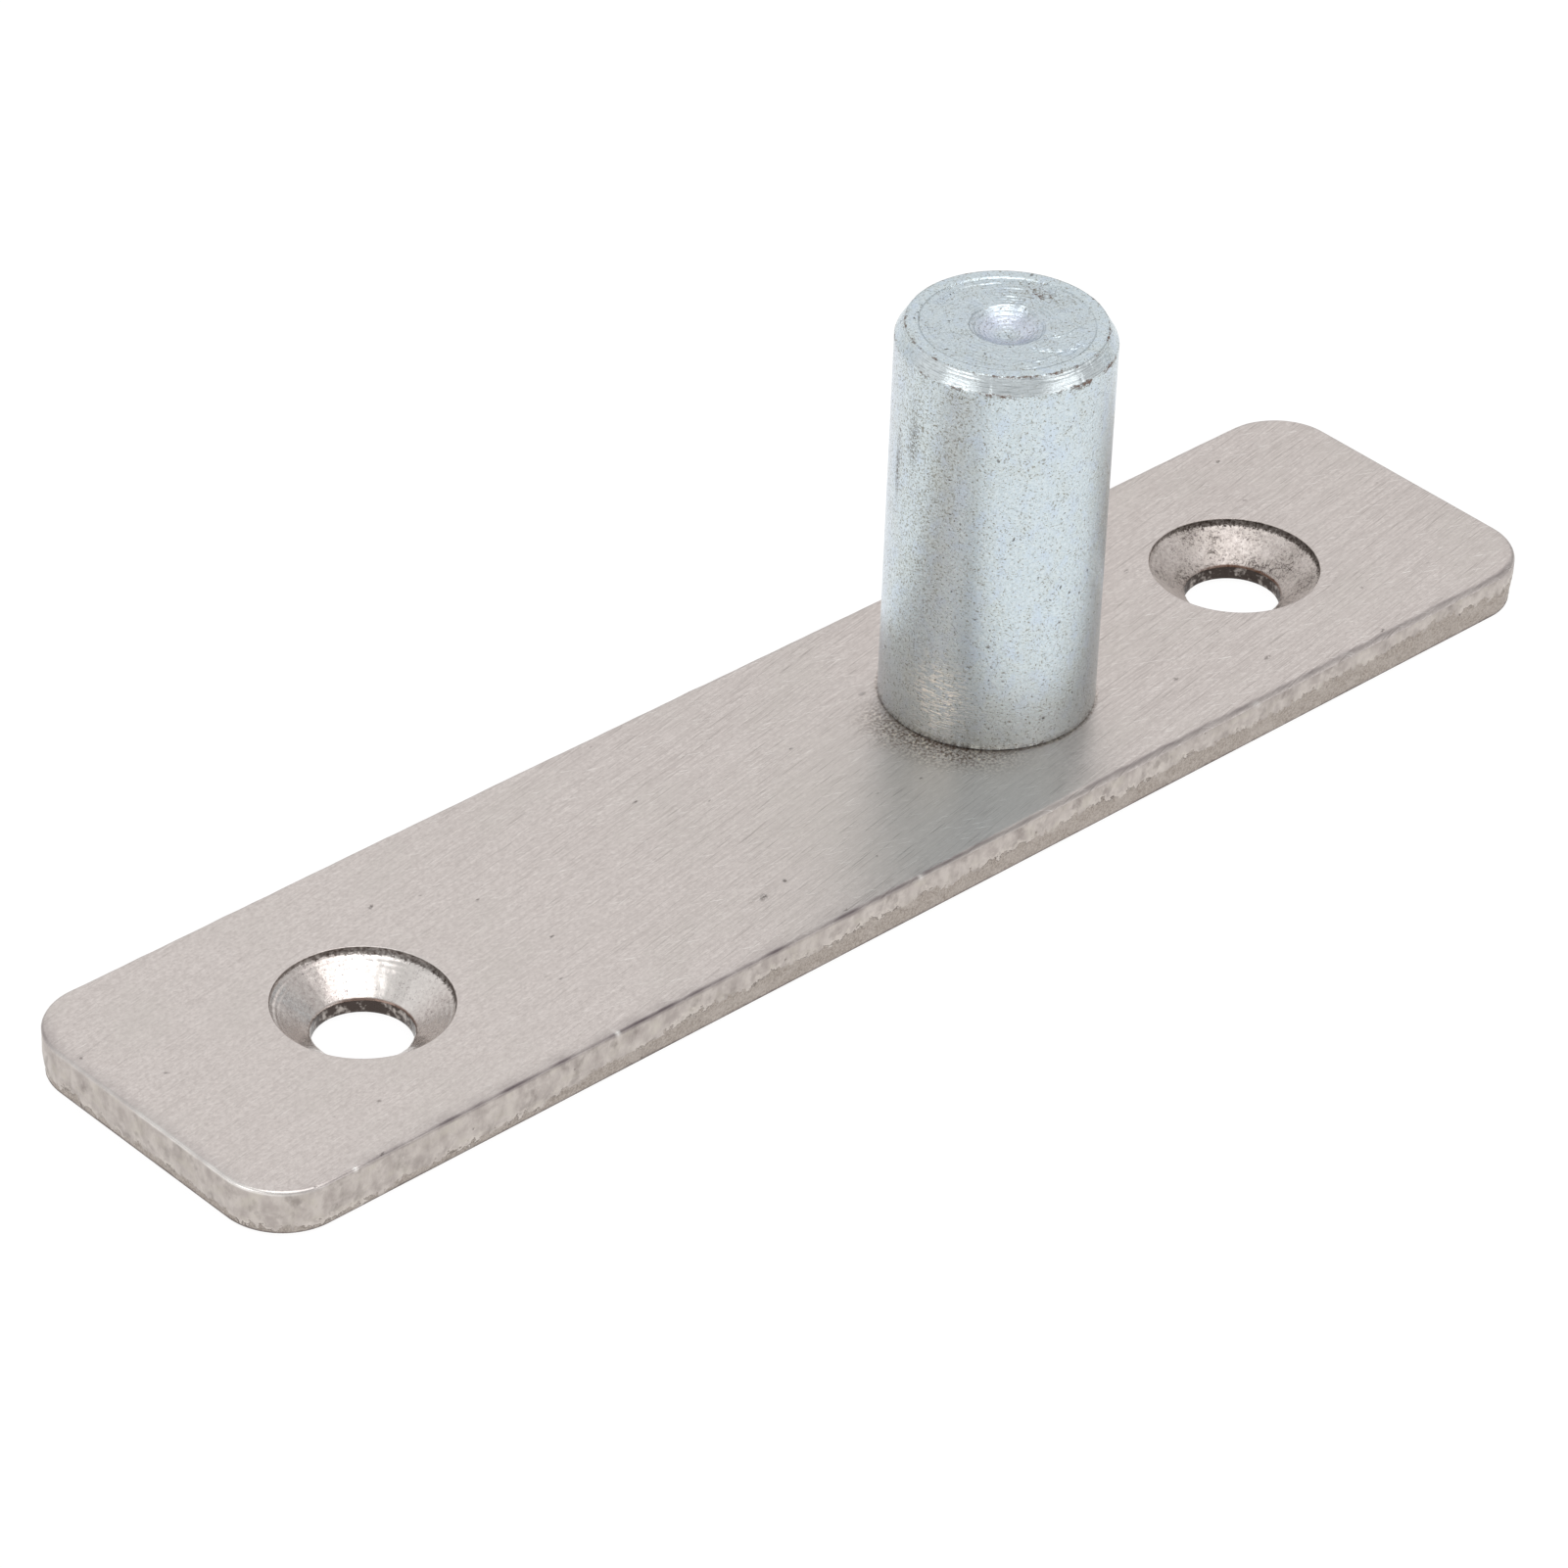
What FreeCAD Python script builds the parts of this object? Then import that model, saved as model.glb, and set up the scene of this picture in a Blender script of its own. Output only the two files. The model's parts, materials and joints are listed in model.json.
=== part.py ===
import FreeCAD, Part
import math
import os
import Sketcher

# Pivot hinge for a door: a flat steel plate, screwed down through two
# countersunk holes, and an upright pin that the door's bush turns on.
# The plate lies on the XY plane with its length along X, and +Z goes up
# the pin. The origin is the middle of the plate's underside.

doc = FreeCAD.newDocument("pivot_hinge")
sheet = doc.addObject("Spreadsheet::Sheet", "sizes")

# Each row is the name of a size, its value in millimetres or degrees, and what it is.
driving_sizes = [
    ("plate_length", 124.0, "plate, end to end"),
    ("plate_width", 28.0, "plate, edge to edge"),
    ("plate_thickness", 3.6, "plate, underside to top"),
    ("corner_radius", 5.0, "corners of the plate, seen from above"),
    ("edge_roll", 0.5, "rounding that the punch draws along the top edge"),
    ("tear_height", 1.4, "height of the torn band at the foot of the wall"),
    ("tear_inset", 0.2, "how far the torn band draws in at the underside"),
    ("screw_span", 85.5, "between the centres of the screw holes"),
    ("screw_shift", 0.25, "middle of the two holes, off the middle of the plate"),
    ("screw_bore", 7.2, "diameter of the straight part of a screw hole"),
    ("countersink_mouth", 12.9, "diameter of the countersink's mouth"),
    ("countersink_angle", 107.0, "full angle of the countersink"),
    ("countersink_rim", 0.35, "short straight wall above the countersink"),
    ("pin_offset", 17.0, "axis of the pin, off the middle of the plate"),
    ("pin_diameter", 16.0, "diameter of the pin"),
    ("pin_height", 31.3, "height of the pin above the plate"),
    ("tip_width", 0.7, "chamfer at the tip, measured across"),
    ("tip_height", 1.2, "chamfer at the tip, measured down"),
    ("foot_break", 0.15, "broken edge where the pin meets the plate"),
    ("face_diameter", 12.7, "turned recess in the pin's end face"),
    ("face_depth", 0.1, "depth of the turned recess"),
    ("centre_mouth", 5.2, "mouth of the dimple that the lathe's centre left"),
    ("centre_depth", 1.0, "depth of the dimple below the recess"),
    ("rivet_bore", 10.0, "hole in the plate for the pin's spigot"),
    ("rivet_mouth", 12.4, "mouth of the countersink that the spigot fills"),
    ("rivet_angle", 90.0, "full angle of that countersink"),
    ("rivet_recess", 0.1, "end of the spigot, above the plate's underside"),
    ("rivet_clearance", 0.02, "between the spigot and its hole, at each side"),
]
for row, (name, value, meaning) in enumerate(driving_sizes, start=1):
    sheet.set(f"A{row}", meaning)
    sheet.set(f"B{row}", str(value))
    sheet.setAlias(f"B{row}", name)
doc.recompute()


def new_body(name):
    # An empty body. Its label is also the name of its file.
    body = doc.addObject("PartDesign::Body", name)
    body.Label = name
    return body


def new_sketch(body, name, role):
    # A sketch that lies on one of the body's own origin planes.
    plane = next(feature for feature in body.Origin.OriginFeatures if feature.Role == role)
    sketch = body.newObject("Sketcher::SketchObject", name)
    sketch.AttachmentSupport = [(plane, "")]
    sketch.MapMode = "FlatFace"
    return sketch


def new_feature(body, kind, name, bindings):
    # A feature of the body, with its properties tied to the sheet.
    feature = body.newObject("PartDesign::" + kind, name)
    for key, expression in bindings.items():
        feature.setExpression(key, expression)
    return feature


def measure(sketch, name, expression, kind, *references):
    # A named measure in the sketch, tied to the sheet.
    value = float(sketch.evalExpression(expression))
    index = sketch.addConstraint(Sketcher.Constraint(kind, *references, value))
    sketch.renameConstraint(index, name)
    sketch.setExpression("Constraints." + name, expression)


def draw_round_rectangle(sketch, length, width, radius):
    # Four arcs and four sides, tangent all round, symmetric about the sketch's origin.
    corner = float(sketch.evalExpression(radius))
    reach_x = float(sketch.evalExpression(length)) / 2 - corner
    reach_y = float(sketch.evalExpression(width)) / 2 - corner
    up = FreeCAD.Vector(0, 0, 1)
    quarter = math.pi / 2
    for number, (way_x, way_y) in enumerate([(1, -1), (1, 1), (-1, 1), (-1, -1)]):
        centre = FreeCAD.Vector(way_x * reach_x, way_y * reach_y, 0)
        circle = Part.Circle(centre, up, corner)
        sketch.addGeometry(Part.ArcOfCircle(circle, (number - 1) * quarter, number * quarter))
    for arc in range(4):
        start = sketch.getPoint(arc, 2)
        end = sketch.getPoint((arc + 1) % 4, 1)
        side = sketch.addGeometry(Part.LineSegment(start, end))
        sketch.addConstraint(Sketcher.Constraint("Tangent", arc, 2, side, 1))
        sketch.addConstraint(Sketcher.Constraint("Tangent", side, 2, (arc + 1) % 4, 1))
        sketch.addConstraint(Sketcher.Constraint("Vertical" if arc % 2 == 0 else "Horizontal", side))
    for arc in range(1, 4):
        sketch.addConstraint(Sketcher.Constraint("Equal", 0, arc))
    sketch.addConstraint(Sketcher.Constraint("Symmetric", 0, 3, 2, 3, -1, 1))
    measure(sketch, "corner", radius, "Radius", 0)
    measure(sketch, "between_ends", f"{length} - 2 * {radius}", "DistanceX", 3, 3, 0, 3)
    measure(sketch, "between_sides", f"{width} - 2 * {radius}", "DistanceY", 0, 3, 1, 3)


def draw_circles(sketch, circles):
    # Circles on the sketch's X axis, from their names, places and diameters.
    for name, place, diameter in circles:
        centre = FreeCAD.Vector(float(sketch.evalExpression(place)), 0, 0)
        radius = float(sketch.evalExpression(diameter)) / 2
        circle = sketch.addGeometry(Part.Circle(centre, FreeCAD.Vector(0, 0, 1), radius))
        sketch.addConstraint(Sketcher.Constraint("PointOnObject", circle, 3, -1))
        measure(sketch, name + "_place", place, "DistanceX", -1, 1, circle, 3)
        measure(sketch, name + "_size", diameter, "Diameter", circle)


def draw_profile(sketch, corners):
    # A closed outline whose corners are given by name, distance from the axis and height.
    points = [
        FreeCAD.Vector(
            float(sketch.evalExpression(radius)),
            float(sketch.evalExpression(height)),
            0,
        )
        for name, radius, height in corners
    ]
    count = len(points)
    for number in range(count):
        sketch.addGeometry(Part.LineSegment(points[number], points[(number + 1) % count]))
    for number in range(count):
        sketch.addConstraint(Sketcher.Constraint("Coincident", number, 2, (number + 1) % count, 1))
    for number, (name, radius, height) in enumerate(corners):
        if radius == "0":
            sketch.addConstraint(Sketcher.Constraint("PointOnObject", number, 1, -2))
        else:
            measure(sketch, name + "_radius", radius, "DistanceX", -1, 1, number, 1)
        measure(sketch, name + "_level", height, "DistanceY", -1, 1, number, 1)


def flat_edges(feature, level):
    # Names of the feature's edges that lie flat at one height.
    closeness = 1e-6
    names = []
    for number, edge in enumerate(feature.Shape.Edges, start=1):
        box = edge.BoundBox
        if max(abs(box.ZMin - level), abs(box.ZMax - level)) < closeness:
            names.append(f"Edge{number}")
    return names


def countersunk_hole(body, name, sketch, bindings):
    # A through hole, drilled along the sketch's own direction, with a conical mouth.
    hole = body.newObject("PartDesign::Hole", name)
    hole.Profile = sketch
    doc.recompute()
    hole.ThreadType = "None"
    hole.DepthType = "ThroughAll"
    hole.DrillPoint = "Flat"
    hole.HoleCutType = "Countersink"
    hole.HoleCutCustomValues = True
    for key, expression in bindings.items():
        hole.setExpression(key, expression)
    sketch.Visibility = False
    return hole


def make_mounting_plate():
    # Sheared from flat bar: rolled along its top edge, torn and drawn in at its underside.
    body = new_body("mounting_plate")
    outline = new_sketch(body, "plate_outline", "XY_Plane")
    draw_round_rectangle(outline, "sizes.plate_length", "sizes.plate_width", "sizes.corner_radius")

    blank = new_feature(body, "Pad", "plate_blank", {"Length": "sizes.plate_thickness"})
    blank.Profile = outline
    doc.recompute()

    roll = new_feature(body, "Fillet", "rolled_edge", {"Radius": "sizes.edge_roll"})
    roll.Base = (blank, flat_edges(blank, float(sheet.get("plate_thickness"))))
    doc.recompute()

    tear = new_feature(
        body,
        "Chamfer",
        "torn_edge",
        {"Size": "sizes.tear_inset", "Size2": "sizes.tear_height"},
    )
    tear.Base = (roll, flat_edges(roll, 0.0))
    tear.ChamferType = "Two distances"
    doc.recompute()

    far_place = "sizes.screw_shift - sizes.screw_span / 2"
    near_place = "sizes.screw_shift + sizes.screw_span / 2"
    mouths = new_sketch(body, "screw_mouths", "XY_Plane")
    mouths.setExpression("AttachmentOffset.Base.z", "sizes.plate_thickness")
    draw_circles(
        mouths,
        [
            ("far", far_place, "sizes.countersink_mouth"),
            ("near", near_place, "sizes.countersink_mouth"),
        ],
    )
    rims = new_feature(body, "Pocket", "screw_rims", {"Length": "sizes.countersink_rim"})
    rims.Profile = mouths
    doc.recompute()

    centres = new_sketch(body, "screw_centres", "XY_Plane")
    centres.setExpression(
        "AttachmentOffset.Base.z",
        "sizes.plate_thickness - sizes.countersink_rim",
    )
    draw_circles(
        centres,
        [
            ("far", far_place, "sizes.screw_bore"),
            ("near", near_place, "sizes.screw_bore"),
        ],
    )
    countersunk_hole(
        body,
        "screw_holes",
        centres,
        {
            "Diameter": "sizes.screw_bore",
            "HoleCutDiameter": "sizes.countersink_mouth",
            "HoleCutCountersinkAngle": "sizes.countersink_angle",
        },
    )
    doc.recompute()

    rivet_centre = new_sketch(body, "rivet_centre", "XY_Plane")
    draw_circles(rivet_centre, [("pin", "sizes.pin_offset", "sizes.rivet_bore")])
    rivet_hole = countersunk_hole(
        body,
        "rivet_hole",
        rivet_centre,
        {
            "Diameter": "sizes.rivet_bore",
            "HoleCutDiameter": "sizes.rivet_mouth",
            "HoleCutCountersinkAngle": "sizes.rivet_angle",
        },
    )
    rivet_hole.Reversed = True
    doc.recompute()
    return body


def make_pivot_pin():
    # Turned from round bar. A spigot passes through the plate and is spread into its
    # countersink, so that the shoulder sits tight on the plate's top.
    body = new_body("pivot_pin")
    seat = "sizes.plate_thickness"
    top = "(sizes.plate_thickness + sizes.pin_height)"
    pin = "sizes.pin_diameter / 2"
    spigot = "sizes.rivet_bore / 2 - sizes.rivet_clearance"
    spread = "tan(sizes.rivet_angle * 1 deg / 2)"
    cone_height = f"(sizes.rivet_mouth - sizes.rivet_bore) / 2 / {spread}"
    tail = f"sizes.rivet_mouth / 2 - sizes.rivet_clearance - sizes.rivet_recess * {spread}"

    profile = new_sketch(body, "pin_profile", "XZ_Plane")
    draw_profile(
        profile,
        [
            ("tail_axis", "0", "sizes.rivet_recess"),
            ("tail_rim", tail, "sizes.rivet_recess"),
            ("cone_top", spigot, cone_height),
            ("spigot_top", spigot, seat),
            ("shoulder", f"{pin} - sizes.foot_break", seat),
            ("foot", pin, f"{seat} + sizes.foot_break"),
            ("tip_low", pin, f"{top} - sizes.tip_height"),
            ("tip_high", f"{pin} - sizes.tip_width", top),
            ("face_rim", "sizes.face_diameter / 2", top),
            ("face_floor", "sizes.face_diameter / 2", f"{top} - sizes.face_depth"),
            ("centre_rim", "sizes.centre_mouth / 2", f"{top} - sizes.face_depth"),
            ("centre_floor", "0", f"{top} - sizes.face_depth - sizes.centre_depth"),
        ],
    )

    turned = new_feature(body, "Revolution", "pin_turned", {})
    turned.Profile = profile
    turned.ReferenceAxis = (profile, ["V_Axis"])
    turned.Angle = 360
    body.setExpression("Placement.Base.x", "sizes.pin_offset")
    doc.recompute()
    return body


def check_document(bodies):
    # Nothing in the document may have failed, and every piece is one valid solid.
    for item in doc.Objects:
        if "Invalid" in item.State or "Error" in item.State:
            raise RuntimeError(f"{item.Name} failed: {item.State}")
    for body in bodies:
        shape = body.Shape
        if shape.isNull() or not shape.isValid() or len(shape.Solids) != 1:
            raise RuntimeError(f"{body.Label} is not one valid solid")


bodies = [make_mounting_plate(), make_pivot_pin()]
doc.recompute()
check_document(bodies)
os.makedirs("parts", exist_ok=True)
for body in bodies:
    body.Shape.exportStep(f"parts/{body.Label}.step")
    size = body.Shape.BoundBox
    print(f"{body.Label}: volume {body.Shape.Volume:.2f}, from {size.ZMin:.3f} to {size.ZMax:.3f}")
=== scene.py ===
import json
import math

import bmesh
import bpy
import numpy as np
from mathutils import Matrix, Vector


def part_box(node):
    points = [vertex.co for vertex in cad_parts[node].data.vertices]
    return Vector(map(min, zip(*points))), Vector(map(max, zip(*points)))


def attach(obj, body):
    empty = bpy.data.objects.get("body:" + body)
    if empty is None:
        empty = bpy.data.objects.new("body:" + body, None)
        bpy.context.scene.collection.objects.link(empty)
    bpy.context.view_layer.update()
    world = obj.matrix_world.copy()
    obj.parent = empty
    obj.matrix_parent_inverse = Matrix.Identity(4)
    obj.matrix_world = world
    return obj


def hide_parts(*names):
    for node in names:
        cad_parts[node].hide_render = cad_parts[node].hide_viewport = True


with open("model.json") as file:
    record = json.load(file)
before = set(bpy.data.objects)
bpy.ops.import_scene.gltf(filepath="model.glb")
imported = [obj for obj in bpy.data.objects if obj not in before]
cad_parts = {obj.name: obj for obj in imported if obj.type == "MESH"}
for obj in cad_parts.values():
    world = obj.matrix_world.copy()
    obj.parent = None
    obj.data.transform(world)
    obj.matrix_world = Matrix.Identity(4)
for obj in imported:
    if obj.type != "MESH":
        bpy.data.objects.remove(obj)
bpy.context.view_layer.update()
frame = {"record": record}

# Lengths are in millimetres up to the mesh, where they become metres.
mm = 0.001
scene = bpy.context.scene
fullTurn = 2 * math.pi
mounts = {mount["name"]: mount for mount in frame["record"]["mounts"]}
plateHigh = np.array(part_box("mounting_plate")[1]) / mm
pinLow, pinHigh = (np.array(corner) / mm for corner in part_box("pivot_pin"))
pinCentre = np.array(mounts["pin_bearing"]["pos_m"][:2]) / mm
pinRadius = mounts["pin_bearing"]["dims"]["r_mm"]
girth = fullTurn * pinRadius
screwMiddle = mounts["screw_holes"]["pos_m"][0] / mm
screwSpan = mounts["screw_holes"]["dims"]["spacing_x_mm"]
screwRadius = mounts["screw_holes"]["dims"]["hole_r_mm"]
thickness = plateHigh[2]
viewBearing = -134.33  # degrees, from the middle of the plate to the camera
weldGap = 0.0005


# Mesh tools

def ripple(chance, u, v, period, lengths, stretch=1.0, waves=48):
    # A sum of sine waves of random heading and phase, whose lengths lie between the two given.
    # Each has a whole number of turns in the period of u, so the ripple closes on itself.
    total = np.zeros(np.broadcast(u, v).shape)
    for wave in range(waves):
        length = lengths[0] * (lengths[1] / lengths[0]) ** chance.random()
        heading = chance.random() * fullTurn
        turns = round(math.cos(heading) * period / length)
        rise = math.sin(heading) / (length * stretch)
        total += np.sin(fullTurn * (turns * u / period + rise * v + chance.random()))
    return total / math.sqrt(waves)


def softStep(low, high, value):
    # 0 below low, 1 above high, and 3t^2 - 2t^3 between them. It falls where low is the larger.
    t = np.clip((value - low) / (high - low), 0, 1)
    return t * t * (3 - 2 * t)


def bell(value, middle, width):
    # 1 in the middle, falling off as exp(-x^2) on both sides.
    return np.exp(-((value - middle) / width) ** 2)


def angleFrom(angle, bearing):
    # The signed angle in degrees from a bearing, between -180 and 180.
    return (np.degrees(angle) - bearing + 180) % 360 - 180


def gridFaces(rows, columns):
    # Quads between neighbours on a grid that closes on itself along its rows.
    index = np.arange(rows * columns).reshape(rows, columns)
    index = np.concatenate([index, index[:, :1]], axis=1)
    corners = [index[:-1, :-1], index[:-1, 1:], index[1:, 1:], index[1:, :-1]]
    return np.stack(corners, axis=-1).reshape(-1, 4)


def makePiece(name, patches, materials):
    # Joins closed grids of points into one mesh. Shared edges and poles are merged, and all
    # faces turned outwards. A patch is its points, a material number for each of its rows of
    # faces, and its values for each point, which are 0 where it names none.
    points = []
    faces = []
    numbers = []
    values = {key: [] for patch in patches for key in patch["values"]}
    start = 0
    for patch in patches:
        rows, columns = patch["points"].shape[:2]
        points.append(patch["points"].reshape(-1, 3))
        faces.append(gridFaces(rows, columns) + start)
        numbers.append(np.repeat(patch["materials"], columns))
        for key in values:
            given = patch["values"].get(key, 0.0)
            values[key].append(np.broadcast_to(given, (rows, columns)).reshape(-1))
        start += rows * columns
    points = np.concatenate(points) * mm
    faces = np.concatenate(faces)
    mesh = bpy.data.meshes.new(name)
    mesh.vertices.add(len(points))
    mesh.vertices.foreach_set("co", points.reshape(-1))
    mesh.loops.add(faces.size)
    mesh.loops.foreach_set("vertex_index", faces.reshape(-1))
    mesh.polygons.add(len(faces))
    mesh.polygons.foreach_set("loop_start", np.arange(0, faces.size, 4))
    mesh.polygons.foreach_set("material_index", np.concatenate(numbers).astype(np.int32))
    mesh.polygons.foreach_set("use_smooth", np.ones(len(faces), bool))
    for key in values:
        layer = mesh.attributes.new(key, "FLOAT", "POINT")
        layer.data.foreach_set("value", np.concatenate(values[key]).astype(np.float32))
    mesh.update(calc_edges=True)
    work = bmesh.new()
    work.from_mesh(mesh)
    bmesh.ops.remove_doubles(work, verts=work.verts, dist=weldGap * mm)
    bmesh.ops.recalc_face_normals(work, faces=work.faces)
    work.to_mesh(mesh)
    work.free()
    for material in materials:
        mesh.materials.append(material)
    print(f"{name}: {len(mesh.vertices)} points, {len(mesh.polygons)} faces")
    return addObject(name, mesh)


def addObject(name, data):
    made = bpy.data.objects.new(name, data)
    scene.collection.objects.link(made)
    return made


# Material tools

def addNode(tree, kind, inputs=None, **settings):
    made = tree.nodes.new("ShaderNode" + kind)
    for key, value in settings.items():
        setattr(made, key, value)
    for key, value in (inputs or {}).items():
        if isinstance(value, bpy.types.NodeSocket):
            tree.links.new(value, made.inputs[key])
        else:
            made.inputs[key].default_value = value
    return made


def newFinish(name):
    # An empty metal, its node tree, and the place on the piece in millimetres.
    material = bpy.data.materials.new(name)
    material.use_nodes = True
    tree = material.node_tree
    tree.nodes["Principled BSDF"].inputs["Metallic"].default_value = 1.0
    place = addNode(tree, "TexCoord").outputs["Object"]
    scaled = addNode(tree, "Mapping", {"Vector": place, "Scale": (1000, 1000, 1000)})
    return material, tree, scaled.outputs["Vector"]


def finished(material, colour, dull, normal):
    # The metal with its colour, its roughness and its fine relief joined to the shader.
    tree = material.node_tree
    shader = tree.nodes["Principled BSDF"]
    tree.links.new(colour, shader.inputs["Base Color"])
    tree.links.new(dull, shader.inputs["Roughness"])
    tree.links.new(normal, shader.inputs["Normal"])
    return material


def stretched(tree, place, size, turn, shift):
    # The place counted in lumps of the given size, one number or three, which lie along a
    # turned direction.
    inputs = {"Vector": place, "Location": [shift] * 3, "Scale": np.broadcast_to(size, 3)}
    inputs["Rotation"] = (0, 0, math.radians(turn))
    return addNode(tree, "Mapping", inputs, vector_type="TEXTURE").outputs["Vector"]


def grain(tree, place, size, shift=0.0, turn=0.0, detail=2.0, roughness=0.5, distortion=0.0):
    inputs = {"Vector": stretched(tree, place, size, turn, shift), "Scale": 1.0, "Detail": detail}
    inputs.update({"Roughness": roughness, "Distortion": distortion})
    return addNode(tree, "TexNoise", inputs).outputs["Fac"]


def remap(tree, value, low, high, toLow=0.0, toHigh=1.0):
    inputs = {"Value": value, "From Min": low, "From Max": high, "To Min": toLow, "To Max": toHigh}
    return addNode(tree, "MapRange", inputs).outputs["Result"]


def combine(tree, operation, a, b):
    return addNode(tree, "Math", {0: a, 1: b}, operation=operation).outputs[0]


def times(tree, a, b):
    return combine(tree, "MULTIPLY", a, b)


def between(tree, value, start, full, past, end):
    # 1 from full to past, falling to 0 at start and at end.
    return combine(tree, "MINIMUM", remap(tree, value, start, full), remap(tree, value, end, past))


def scatter(tree, place, spacing, radius, share, shift=0.0, stretch=1.0, turn=0.0):
    # Small marks, one to a cell of the given spacing, kept in a share of the cells. The place
    # is shaken a little first, so that no mark is round.
    shaken = addNode(tree, "TexNoise", {"Vector": place, "Scale": 3.0 / spacing, "Detail": 1.0})
    offset = addNode(tree, "VectorMath", {0: shaken.outputs["Color"], 3: radius * 3}, operation="SCALE")
    moved = addNode(tree, "VectorMath", {0: place, 1: offset.outputs[0]}, operation="ADD")
    size = (spacing * stretch, spacing, spacing)
    inputs = {"Vector": stretched(tree, moved.outputs[0], size, turn, shift), "Scale": 1.0}
    cell = addNode(tree, "TexVoronoi", inputs)
    pick = addNode(tree, "SeparateColor", {"Color": cell.outputs["Color"]}).outputs["Red"]
    kept = remap(tree, pick, 1 - share, 1 - share + 0.02)
    inside = remap(tree, cell.outputs["Distance"], radius / spacing, radius / spacing * 0.4)
    return times(tree, kept, inside)


def nearPoint(tree, place, point, far, close):
    # 1 within the close distance of a point, falling to 0 at the far one.
    away = addNode(tree, "VectorMath", {0: place, 1: point}, operation="DISTANCE").outputs["Value"]
    inputs = {"Value": away, "From Min": far, "From Max": close}
    return addNode(tree, "MapRange", inputs, interpolation_type="SMOOTHSTEP").outputs["Result"]


def tint(tree, amount, under, over):
    return addNode(tree, "Mix", {0: amount, 6: under, 7: over}, data_type="RGBA").outputs[2]


def layered(tree, colour, finish, layers):
    # Lays colours of the finish over the first one in turn, each by its own amount.
    for name, amount in layers:
        colour = tint(tree, amount, colour, finish[name])
    return colour


def relief(tree, height, depth, below=None):
    # Bump whose full swing is depth millimetres.
    inputs = {"Height": height, "Strength": 1.0, "Distance": depth * mm}
    if below is not None:
        inputs["Normal"] = below
    return addNode(tree, "Bump", inputs).outputs["Normal"]


def attribute(tree, name):
    return addNode(tree, "Attribute", attribute_name=name).outputs["Fac"]


def rgb(red, green, blue):
    # A colour read off a screen, 0 to 255, as the shader's linear colour.
    screen = np.array([red, green, blue]) / 255
    linear = np.where(screen < 0.04045, screen / 12.92, ((screen + 0.055) / 1.055) ** 2.4)
    return (*linear.tolist(), 1.0)


# Finish of the plate's flat faces: steel brushed a little askew of its length

brushed = dict(
    base=rgb(223, 215, 211),
    dark=rgb(190, 181, 177),
    light=rgb(236, 228, 224),
    cool=rgb(201, 195, 189),
    pit=rgb(108, 99, 94),
    # line: the colour of the painted shade line along the near edge
    line=rgb(104, 94, 97),
    bright=rgb(255, 252, 248),
    rust=rgb(104, 82, 64),
    dustLight=rgb(240, 226, 204),
    turn=8.0,
    roughness=0.34,
    wornFrom=(-40.0, -5.0),  # the left end is less worn
    wornShare=(0.35, 0.8),
    coolPlace=(-14.0, -9.0),  # from the pin's foot; painted shade and a painted reflection of the pin lie about here
    dustPlace=(-8.6, -2.8),
)


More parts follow.
